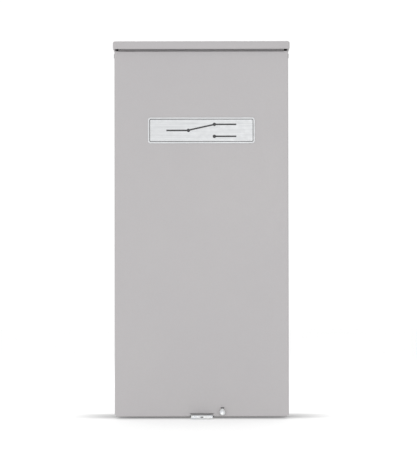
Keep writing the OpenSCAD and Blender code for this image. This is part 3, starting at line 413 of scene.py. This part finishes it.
FINISH_OF_SLOT = {
    "cabinet_paint": POWDER_COAT, "zinc_plate": ZINC, "bare_steel": STEEL, "copper": COPPER,
    "tinned_aluminium": TIN, "black_moulding": BLACK, "ivory_nylon": IVORY,
    "clear_polycarbonate": CLEAR, "red_moulding": RED, "coil_tape": TAPE, "arc_fibre": FIBRE,
    "fuse_body": CERAMIC, "circuit_board": BOARD, "board_components": PARTS,
    "gasket_foam": FOAM, "nameplate_metal": PLATE, "wire_insulation": WIRE,
}
FINISH_OF_NODE = {"subpanel": GALVANISED}


# ---------- pieces ----------


def bevel(piece, width, angle):
    """Rounds the edges that are sharper than an angle in degrees."""
    edge = piece.modifiers.new("edges", "BEVEL")
    edge.width = width
    edge.segments = 2
    edge.limit_method = "ANGLE"
    edge.angle_limit = math.radians(angle)
    return edge


def thicken(piece, sheet):
    """Gives a skin the thickness of its sheet, inwards."""
    skin = piece.modifiers.new("sheet", "SOLIDIFY")
    skin.thickness = sheet
    skin.offset = -1
    skin.use_even_offset = True


def break_edges(piece, width, angle):
    """Rounds a piece's sharp edges and shades it smooth across them."""
    weld = piece.modifiers.new("weld", "WELD")
    weld.merge_threshold = 0.00001
    flat = piece.modifiers.new("flatten", "DECIMATE")
    flat.decimate_type = "DISSOLVE"
    flat.angle_limit = math.radians(0.5)
    bevel(piece, width, angle).use_clamp_overlap = True
    piece.data.shade_smooth()
    even = piece.modifiers.new("normals", "WEIGHTED_NORMAL")
    even.weight = 100
    even.keep_sharp = False


def paint(piece, finish):
    piece.data.materials.clear()
    piece.data.materials.append(finish.material)


def dress_node(node):
    """Keeps a CAD node's shape, with its edges broken and its own finish or its slot's."""
    piece = NODES[node]
    paint(piece, FINISH_OF_NODE.get(node, FINISH_OF_SLOT[SLOT_OF[node]]))
    break_edges(piece, 0.3 * MM, 35)


def joint_place(name):
    return Vector(next(j for j in frame["joints"] if j["name"] == name)["pos_m"])


def solid(name, body, finish, bm, replaced=()):
    """Turns mesh work in the shared frame into a piece that rides on a body."""
    mesh = bpy.data.meshes.new(name)
    bmesh.ops.recalc_face_normals(bm, faces=bm.faces)
    bm.to_mesh(mesh)
    bm.free()
    piece = bpy.data.objects.new(name, mesh)
    bpy.context.scene.collection.objects.link(piece)
    paint(piece, finish)
    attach(piece, body)
    if replaced:
        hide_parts(*replaced)
    return piece


def loft(bm, rings, caps=True):
    """Joins rings of points, each with the same number, into one skin."""
    rows = [[bm.verts.new(p) for p in ring] for ring in rings]
    count = len(rows[0])
    for low, high in zip(rows, rows[1:]):
        for i in range(count):
            j = (i + 1) % count
            bm.faces.new((low[i], low[j], high[j], high[i]))
    if caps:
        bm.faces.new(rows[0][::-1])
        bm.faces.new(rows[-1])
    return rows


def rounded_box(width, height, radius, steps=6):
    """Points round a rectangle with round corners, about its middle, as (across, up)."""
    points = []
    for corner, side in enumerate(((1, 1), (-1, 1), (-1, -1), (1, -1))):
        for step in range(steps + 1):
            a = TURN / 4 * (corner + step / steps)
            points.append((side[0] * (width / 2 - radius) + radius * math.cos(a),
                           side[1] * (height / 2 - radius) + radius * math.sin(a)))
    return points


def edge_rings(front, back, radius, steps=4):
    """(depth, inset) pairs for a slab from its back to its rounded front edge, which has a lower Y."""
    pairs = [(back, 0.0)]
    for step in range(steps + 1):
        a = TURN / 4 * step / steps
        pairs.append((front + radius * (1 - math.sin(a)), radius * (1 - math.cos(a))))
    return pairs


def slab(bm, outline, back, front, radius, at=(0, 0)):
    """A flat piece whose outline(inset) lies in X and Z, with a rounded front edge."""
    rings = [[Vector((at[0] + x, depth, at[1] + z)) for x, z in outline(inset)]
             for depth, inset in edge_rings(front, back, radius)]
    loft(bm, rings)


def plate_outline(width, height, radius):
    def at_inset(inset):
        inner = max(radius - inset, 0.02 * MM)
        return rounded_box(width - 2 * inset, height - 2 * inset, inner)
    return at_inset


def egg_outline(low, low_r, high, high_r, steps=48):
    """Outline round two circles, one above the other, as (across, up)."""
    def at_inset(inset):
        points = []
        for step in range(steps):
            a = TURN * step / steps
            lower = low * math.sin(a) + low_r
            upper = high * math.sin(a) + high_r
            centre, radius = (low, low_r) if lower > upper else (high, high_r)
            reach = radius - inset
            points.append((reach * math.cos(a), centre + reach * math.sin(a)))
        return points
    return at_inset


def carve(piece, *cutters):
    """Cuts the cutters' shapes out of a piece and throws the cutters away."""
    for cutter in cutters:
        cut = piece.modifiers.new("cut", "BOOLEAN")
        cut.operation = "DIFFERENCE"
        cut.solver = "EXACT"
        cut.object = cutter
    bpy.context.view_layer.update()
    shaped = bpy.data.meshes.new_from_object(piece.evaluated_get(bpy.context.evaluated_depsgraph_get()))
    piece.modifiers.clear()
    piece.data = shaped
    for cutter in cutters:
        bpy.data.objects.remove(cutter)


def cutter(bm):
    mesh = bpy.data.meshes.new("cutter")
    bmesh.ops.recalc_face_normals(bm, faces=bm.faces)
    bm.to_mesh(mesh)
    bm.free()
    made = bpy.data.objects.new("cutter", mesh)
    bpy.context.scene.collection.objects.link(made)
    return made


def rod_cutter(axis, radius, centre, half, sides=40):
    """A cutter along one axis, 0 to 2, through a centre."""
    bm = bmesh.new()
    turn = (Matrix.Rotation(TURN / 4, 4, "Y"), Matrix.Rotation(TURN / 4, 4, "X"), Matrix())[axis]
    place = Matrix.Translation(centre) @ turn
    bmesh.ops.create_cone(bm, cap_ends=True, segments=sides, radius1=radius, radius2=radius,
                          depth=2 * half, matrix=place)
    return cutter(bm)


# ---------- cabinet ----------


def top_cap():
    """The drip cap: one sheet folded down at the front and both ends, its corners welded round."""
    low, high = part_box("top_cap")
    sheet = 1.6 * MM
    bend = 4.2 * MM
    cut = 2 * MM
    bm = bmesh.new()
    back = high.y
    top = [bm.verts.new(p) for p in ((low.x, back, high.z), (high.x, back, high.z),
                                     (high.x, low.y, high.z), (low.x, low.y, high.z))]
    foot = [bm.verts.new(p) for p in ((low.x, back, low.z + cut), (high.x, back, low.z + cut),
                                      (high.x, low.y, low.z + cut), (low.x, low.y, low.z + cut))]
    lip = [bm.verts.new(p) for p in ((high.x - cut, low.y, low.z), (low.x + cut, low.y, low.z))]
    bm.faces.new(top)
    bm.faces.new((top[1], foot[1], foot[2], top[2]))
    bm.faces.new((top[0], top[3], foot[3], foot[0]))
    bm.faces.new((top[3], top[2], foot[2], lip[0], lip[1], foot[3]))
    folds = [e for e in bm.edges if len(e.link_faces) == 2]
    bmesh.ops.bevel(bm, geom=folds, offset=bend, segments=7, profile=0.5, affect="EDGES")
    piece = solid("drip_cap", "cabinet", POWDER_COAT, bm, ["top_cap"])
    thicken(piece, sheet)
    bevel(piece, 0.3 * MM, 50)
    piece.data.shade_smooth()


def front_cover():
    """The lift-up cover: one sheet with bent sides and foot, its top hem stepped back under the cap."""
    low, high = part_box("front_cover")
    hinge = joint_place("cover_hinge")
    screw = joint_place("screw_turn")
    sheet = 1.6 * MM
    bend = 3 * MM
    arc = 6
    foot_depth = 13.6 * MM
    hollow = 0.25 * MM
    across, up = 28, 56
    flat_x = high.x - bend
    hem_x = 166 * MM
    hem_back = 8 * MM
    fold = 1.8 * MM
    seam = high.z - 10.5 * MM
    bend_z = low.z + bend

    def side_profile(side):
        """Points (x, y) from the back of a side flange round its bend, and not the flat face."""
        points = [(side * high.x, high.y + (low.y + bend - high.y) * k / 4) for k in range(5)]
        for step in range(1, arc):
            a = TURN / 4 * step / arc
            points.append((side * (flat_x + bend * math.cos(a)), low.y + bend - bend * math.sin(a)))
        return points

    face = [(-hem_x + 2 * hem_x * k / (across - 2), low.y) for k in range(across - 1)]
    face = [(-flat_x, low.y)] + face + [(flat_x, low.y)]
    left, right = side_profile(-1), side_profile(1)[::-1]
    profile = left + face + right
    bm = bmesh.new()

    def row_at(z, share):
        """One row of points across the cover, the face pressed a hair hollow in the middle."""
        row = []
        for x, y in profile:
            dish = 0
            if y == low.y and abs(x) < flat_x:
                dish = hollow * math.cos(x / flat_x * TURN / 4) ** 0.5 * math.sin(TURN / 2 * share)
                dish *= 0.8 + 0.2 * math.sin(9 * z + 14 * x)
            row.append(bm.verts.new((x, y + dish, z)))
        return row

    def strip(upper, lower, first, last):
        for i in range(first, last):
            bm.faces.new((upper[i], upper[i + 1], lower[i + 1], lower[i]))

    def roll(row, spine):
        """Carries a row of points along a spine of (y, z)."""
        for y, z in spine:
            new_row = [bm.verts.new((v.co.x, y, z)) for v in row]
            strip(row, new_row, 0, len(row) - 1)
            row = new_row

    start = seam - fold
    rows = [row_at(start + (bend_z - start) * r / up, r / up) for r in range(up + 1)]
    for upper, lower in zip(rows, rows[1:]):
        strip(upper, lower, 0, len(profile) - 1)
    tall = [bm.verts.new((x, y, high.z)) for x, y in profile]
    strip(tall, rows[0], 0, len(left) + 1)
    strip(tall, rows[0], len(left) + across - 1, len(profile) - 1)
    turn = [TURN / 4 * step / arc for step in range(1, arc + 1)]
    foot = [(low.y + bend * (1 - math.cos(a)), low.z + bend * (1 - math.sin(a))) for a in turn]
    foot += [(low.y + bend + (foot_depth - bend) * k / 2, low.z) for k in (1, 2)]
    roll(rows[-1][len(left):len(left) + across + 1], foot)
    inner = fold - sheet
    step_y = low.y + hem_back
    hem = [(low.y + fold * (1 - math.cos(a)), start + fold * math.sin(a)) for a in turn]
    hem += [(step_y - inner * math.cos(a), seam + inner * (1 - math.sin(a))) for a in turn[::-1][1:]]
    hem += [(step_y, seam + inner), (step_y, high.z)]
    roll(rows[0][len(left) + 1:len(left) + across], hem)
    bmesh.ops.delete(bm, geom=[v for v in bm.verts if not v.link_faces], context="VERTS")
    piece = solid("cover_sheet", "cover", POWDER_COAT, bm, ["front_cover"])
    thicken(piece, sheet)
    notch = bmesh.new()
    slab(notch, plate_outline(48 * MM, 14 * MM, 2.5 * MM), high.y, low.y - 5 * MM, 0.01 * MM, (0, low.z))
    slot = bmesh.new()
    slab(slot, plate_outline(7.2 * MM, 3 * MM, 1.45 * MM), low.y + 5 * MM, low.y - 5 * MM, 0.01 * MM,
         (screw.x, low.z + 17.6 * MM))
    cuts = [cutter(notch), cutter(slot), rod_cutter(1, 3.2 * MM, (screw.x, low.y, screw.z), 5 * MM)]
    for side in (-1, 1):
        cuts.append(rod_cutter(0, 2.58 * MM, (side * high.x, hinge.y, hinge.z), 5 * MM))
        cuts.append(swing_cutter(side, low, high, hinge))
        relief = bmesh.new()
        ends = sorted((side * (hem_x + 0.1 * MM), side * (high.x + 5 * MM)))
        bmesh.ops.create_cube(relief, size=1, matrix=Matrix.LocRotScale(
            ((ends[0] + ends[1]) / 2, low.y, seam + 15 * MM), None,
            (ends[1] - ends[0], 10 * MM, 30 * MM)))
        cuts.append(cutter(relief))
    carve(piece, *cuts)
    bevel(piece, 0.3 * MM, 50)
    piece.data.shade_smooth()
    piece.modifiers.new("normals", "WEIGHTED_NORMAL").weight = 60


def swing_cutter(side, low, high, hinge):
    """Cuts a side flange's upper back corner to an arc round the hinge, so that it swings clear."""
    swing = 25 * MM
    spare = 9 * MM
    rim = [(hinge.y + swing * math.cos(TURN / 4 * k / 12), hinge.z + swing * math.sin(TURN / 4 * k / 12))
           for k in range(13)]
    rim += [(hinge.y, high.z + spare), (high.y + spare, high.z + spare), (high.y + spare, hinge.z)]
    inner, outer = sorted((side * (high.x - 3.2 * MM), side * (high.x + 5 * MM)))
    bm = bmesh.new()
    loft(bm, [[Vector((x, y, z)) for y, z in rim] for x in (inner, outer)])
    return cutter(bm)


def hasp_staple():
    """The bent strap under the notch: web with the padlock hole, and a lip with a rolled lower edge."""
    low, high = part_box("hasp_staple")
    sheet = 2.5 * MM
    bend = 3.2 * MM
    corner = 2.6 * MM
    arc = 6
    web_low = high.z - sheet
    bm = bmesh.new()

    def section(x):
        over = max(0.0, abs(x) - (high.x - corner))
        lift = corner - math.sqrt(max(corner ** 2 - over ** 2, 0))
        foot = low.z + lift
        side = [(high.y, high.z), (low.y + bend, high.z)]
        for step in range(1, arc + 1):
            a = TURN / 4 * (1 + step / arc)
            side.append((low.y + bend + bend * math.cos(a), high.z - bend + bend * math.sin(a)))
        roll = min(sheet * 0.98, web_low - foot - 0.3 * MM)
        for step in range(arc + 1):
            a = TURN / 4 * step / arc
            side.append((low.y + roll * (1 - math.cos(a)), foot + roll * (1 - math.sin(a))))
        side.append((low.y + sheet, foot))
        inner = bend - sheet
        for step in range(arc + 1):
            a = TURN / 4 * (2 - step / arc)
            side.append((low.y + bend + inner * math.cos(a), web_low - inner + inner * math.sin(a)))
        side.append((high.y, web_low))
        return [Vector((x, y, z)) for y, z in side]

    ends = [high.x - corner * (1 - math.sin(TURN / 4 * k / 8)) for k in range(9)]
    stations = [-x for x in reversed(ends)] + [0] + ends
    loft(bm, [section(x) for x in stations])
    piece = solid("hasp_strap", "cabinet", ZINC, bm, ["hasp_staple"])
    mount = next(m for m in frame["record"]["mounts"] if m["name"] == "padlock_hole")
    hole = Vector(mount["pos_m"])
    slot = bmesh.new()
    slab(slot, plate_outline(6.2 * MM, 2.4 * MM, 1.1 * MM), low.y + 2 * sheet, low.y - 2 * sheet,
         0.01 * MM, (0, web_low - 1.9 * MM))
    carve(piece, rod_cutter(2, mount["dims"]["r_mm"] * MM, hole, 6 * MM), cutter(slot))
    break_edges(piece, 0.25 * MM, 40)


def cover_screw():
    """Cast thumb screw: egg-shaped head with a soft edge and a shallow dish, collar and real thread."""
    low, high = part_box("cover_screw")
    centre = joint_place("screw_turn")
    pitch = 0.8 * MM
    major = 2.5 * MM
    deep = 0.42 * MM
    seat = low.y + 6.5 * MM
    egg = egg_outline(-1.7 * MM, 5.98 * MM, 2.6 * MM, 3.08 * MM)
    rings = [(seat - 1.5 * MM, 0.35 * MM), (seat - 1.75 * MM, 0.1 * MM), (seat - 2.1 * MM, 0)]
    crown = 1.3 * MM
    for step in range(7):
        a = TURN / 4 * step / 6
        rings.append((low.y + crown * (1 - math.sin(a)), crown * (1 - math.cos(a))))
    rings += [(low.y + 0.04 * MM, 1.7 * MM), (low.y + 0.3 * MM, 2.3 * MM), (low.y + 0.42 * MM, 2.9 * MM)]
    bm = bmesh.new()
    loft(bm, [[Vector((centre.x + x, y, centre.z + z)) for x, z in egg(inset)] for y, inset in rings])
    sides = 40

    def ring(radius, y):
        return [Vector((centre.x + radius * math.cos(TURN * k / sides), y,
                        centre.z + radius * math.sin(TURN * k / sides))) for k in range(sides)]

    collar = 4.55 * MM
    loft(bm, [ring(collar - 0.3 * MM, seat - 1.7 * MM), ring(collar, seat - 1.4 * MM),
              ring(collar, seat - 0.25 * MM), ring(collar - 0.25 * MM, seat)])
    turns = 24
    per_turn = 6
    start = seat - 0.5 * MM
    length = high.y - start
    count = int(length / pitch * per_turn)
    body = []
    for i in range(count + 1):
        y = start + length * i / count
        taper = min(1.0, (high.y - y) / (1.6 * MM))
        row = []
        for k in range(turns):
            phase = ((y - start) / pitch - k / turns) % 1.0
            depth = deep * (1 - abs(2 * phase - 1)) if y > seat + 1.5 * MM else 0
            radius = (major - depth) * (0.72 + 0.28 * taper)
            a = TURN * k / turns
            row.append(Vector((centre.x + radius * math.cos(a), y, centre.z + radius * math.sin(a))))
        body.append(row)
    loft(bm, body)
    piece = solid("thumb_screw", "screw", ZINC, bm, ["cover_screw"])
    piece.data.shade_smooth()
    piece.data.set_sharp_from_angle(angle=math.radians(38))


def nameplate():
    """Brushed plate with a printed border and a one-line symbol of a double-throw switch."""
    low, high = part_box("nameplate")
    plate_back, plate_front = high.y, low.y + 0.3 * MM
    width, height = high.x - low.x, high.z - low.z
    middle = (0, (low.z + high.z) / 2)
    bm = bmesh.new()
    slab(bm, plate_outline(width, height, 5 * MM), plate_back, plate_front, 0.3 * MM, middle)
    solid("nameplate_sheet", "cover", PLATE, bm, ["nameplate"])
    bm = bmesh.new()
    ink = 0.1 * MM
    outer = plate_outline(width - 6 * MM, height - 6 * MM, 3 * MM)
    inner = plate_outline(width - 8.4 * MM, height - 8.4 * MM, 2 * MM)
    border = [(plate_front + ink, outer, 0), (low.y + ink, outer, 0), (low.y, outer, ink),
              (low.y, inner, -ink), (low.y + ink, inner, 0), (plate_front + ink, inner, 0)]
    rings = [[Vector((x, y, middle[1] + z)) for x, z in shape(inset)] for y, shape, inset in border]
    rows = loft(bm, rings, caps=False)
    count = len(rows[0])
    for i in range(count):
        j = (i + 1) % count
        bm.faces.new((rows[-1][i], rows[-1][j], rows[0][j], rows[0][i]))
    dot_r = 3.4 * MM
    stroke = 3 * MM
    reach_x, reach_z = 26 * MM, 12 * MM
    lead = 44 * MM

    def dot(x, z):
        def outline(inset):
            turns = [TURN * k / 32 for k in range(32)]
            return [((dot_r - inset) * math.cos(a), (dot_r - inset) * math.sin(a)) for a in turns]
        slab(bm, outline, plate_front + ink, low.y, ink, (x, middle[1] + z))

    def bar(start, end):
        way = Vector(end) - Vector(start)
        tilt = math.atan2(way.y, way.x)

        def outline(inset):
            shape = rounded_box(way.length - 2 * inset, stroke - 2 * inset, 0.5 * MM)
            return [(x * math.cos(tilt) - z * math.sin(tilt), x * math.sin(tilt) + z * math.cos(tilt))
                    for x, z in shape]
        centre = (Vector(start) + Vector(end)) / 2
        slab(bm, outline, plate_front + ink, low.y, ink, (centre.x, middle[1] + centre.y))

    dot(-reach_x, 0)
    bar((-reach_x - lead, 0), (-reach_x - dot_r * 0.9, 0))
    bar((-reach_x + dot_r * 0.8, 1 * MM), (reach_x - dot_r * 0.8, reach_z - 0.7 * MM))
    for side in (-1, 1):
        dot(reach_x, side * reach_z)
        bar((reach_x + dot_r * 0.9, side * reach_z), (reach_x + lead, side * reach_z))
    solid("nameplate_print", "cover", PRINT, bm)


# ---------- stage ----------


# The floor glows FLOOR_GLOW like a lamp, falling to SHADED_GLOW on a patch behind the cover, over FLOOR_SHADE: a
# painted shadow in the glow
FLOOR_REACH = 14.0
FLOOR_GLOW = 0.5
SHADED_GLOW = 0.06
FLOOR_SHADE = 0.13
# The patch behind the cover where a painted shadow dims the floor's glow
SHADOW_PATCH_Y = -0.03
SHADOW_PATCH_HALF = (0.17, 0.03, 10)
FLOOR_TONE = 0.48
WORLD_LIGHT = 1.02
RIGHT_SHADE = 0.6


def stage():
    """A pale floor just under the staple that glows like a lamp, except for a painted shadow behind the cover, in
    white surroundings.
    """
    floor_z = cad_box[0].z - 0.5 * MM
    bm = bmesh.new()
    bmesh.ops.create_grid(bm, x_segments=8, y_segments=8, size=FLOOR_REACH,
                          matrix=Matrix.Translation((0, 0, floor_z)))
    mesh = bpy.data.meshes.new("studio_floor")
    bm.to_mesh(mesh)
    bm.free()
    floor = bpy.data.objects.new("studio_floor", mesh)
    bpy.context.scene.collection.objects.link(floor)
    pale = Finish("studio_white", Specular_IOR_Level=0.2, Emission_Color=(1, 1, 1, 1))
    # The glow dims towards SHADED_GLOW on the patch behind the cover: a painted shadow
    aside = pale.place
    for sum_up, other in (("SUBTRACT", (0, SHADOW_PATCH_Y, 0)), ("ABSOLUTE", None),
                          ("SUBTRACT", SHADOW_PATCH_HALF), ("MAXIMUM", (0, 0, 0))):
        inputs = {0: aside} if other is None else {0: aside, 1: other}
        aside = pale.add("ShaderNodeVectorMath", inputs, operation=sum_up).outputs[0]
    away = pale.add("ShaderNodeVectorMath", {0: aside}, operation="LENGTH").outputs["Value"]
    fall = {"Value": away, "From Min": 0.0, "From Max": FLOOR_SHADE,
            "To Min": SHADED_GLOW, "To Max": FLOOR_GLOW}
    glow = pale.add("ShaderNodeMapRange", fall, interpolation_type="SMOOTHSTEP").outputs[0]
    pale.links.new(glow, pale.shader.inputs["Emission Strength"])
    pale.colour(pale.blend(pale.spread(pale.noise(3), 0, 1), grey(FLOOR_TONE), grey(FLOOR_TONE + 0.01)))
    pale.rough(pale.spread(pale.noise(40), 0.75, 0.85))
    floor.data.materials.append(pale.material)
    world = bpy.data.worlds.new("studio")
    world.use_nodes = True
    nodes, links = world.node_tree.nodes, world.node_tree.links
    sky = nodes["Background"]
    sky.inputs["Color"].default_value = (1, 1, 1, 1)
    way = nodes.new("ShaderNodeSeparateXYZ")
    shade = nodes.new("ShaderNodeMapRange")
    links.new(nodes.new("ShaderNodeTexCoord").outputs["Generated"], way.inputs[0])
    links.new(way.outputs["X"], shade.inputs["Value"])
    for socket, value in (("From Min", 0.25), ("From Max", 1.0), ("To Min", WORLD_LIGHT),
                          ("To Max", WORLD_LIGHT * RIGHT_SHADE)):
        shade.inputs[socket].default_value = value
    links.new(shade.outputs[0], sky.inputs["Strength"])
    bpy.context.scene.world = world


def lamp(name, power, size, place, target=(0, -0.1, 0)):
    data = bpy.data.lights.new(name, "AREA")
    data.shape = "RECTANGLE"
    data.size, data.size_y = size
    data.energy = power
    made = bpy.data.objects.new(name, data)
    bpy.context.scene.collection.objects.link(made)
    made.location = place
    made.rotation_mode = "QUATERNION"
    made.rotation_quaternion = (Vector(target) - Vector(place)).to_track_quat("-Z", "Y")


def camera():
    """Straight on from far in front, a little below the middle and looking up, as the cabinet is seen."""
    frame_height = 0.9296
    distance = 5.0
    pitch = math.radians(1.5)
    roll = math.radians(0.1)
    aim = Vector((13.9 * MM, cad_box[0].y + 16 * MM, -7.9 * MM))
    data = bpy.data.cameras.new("camera")
    data.sensor_width = 36
    data.lens = data.sensor_width * distance / frame_height
    made = bpy.data.objects.new("camera", data)
    bpy.context.scene.collection.objects.link(made)
    made.location = aim - distance * Vector((0, math.cos(pitch), math.sin(pitch)))
    made.rotation_mode = "QUATERNION"
    look = (aim - made.location).to_track_quat("-Z", "Y").to_matrix().to_4x4()
    made.rotation_quaternion = (look @ Matrix.Rotation(-roll, 4, "Z")).to_quaternion()
    bpy.context.scene.camera = made


for node in NODES:
    dress_node(node)
top_cap()
front_cover()
hasp_staple()
cover_screw()
nameplate()

stage()
camera()
lamp("back_bank", 60, (4.0, 2.0), (0.2, 2.6, 2.6), (0, -0.6, -0.4))
lamp("right_bank", 8, (0.3, 0.8), (0.34, -4.0, 0.15))
lamp("low_bank", 1, (0.7, 0.2), (-0.55, -4.0, -0.25))
bpy.context.scene.view_settings.view_transform = "Standard"
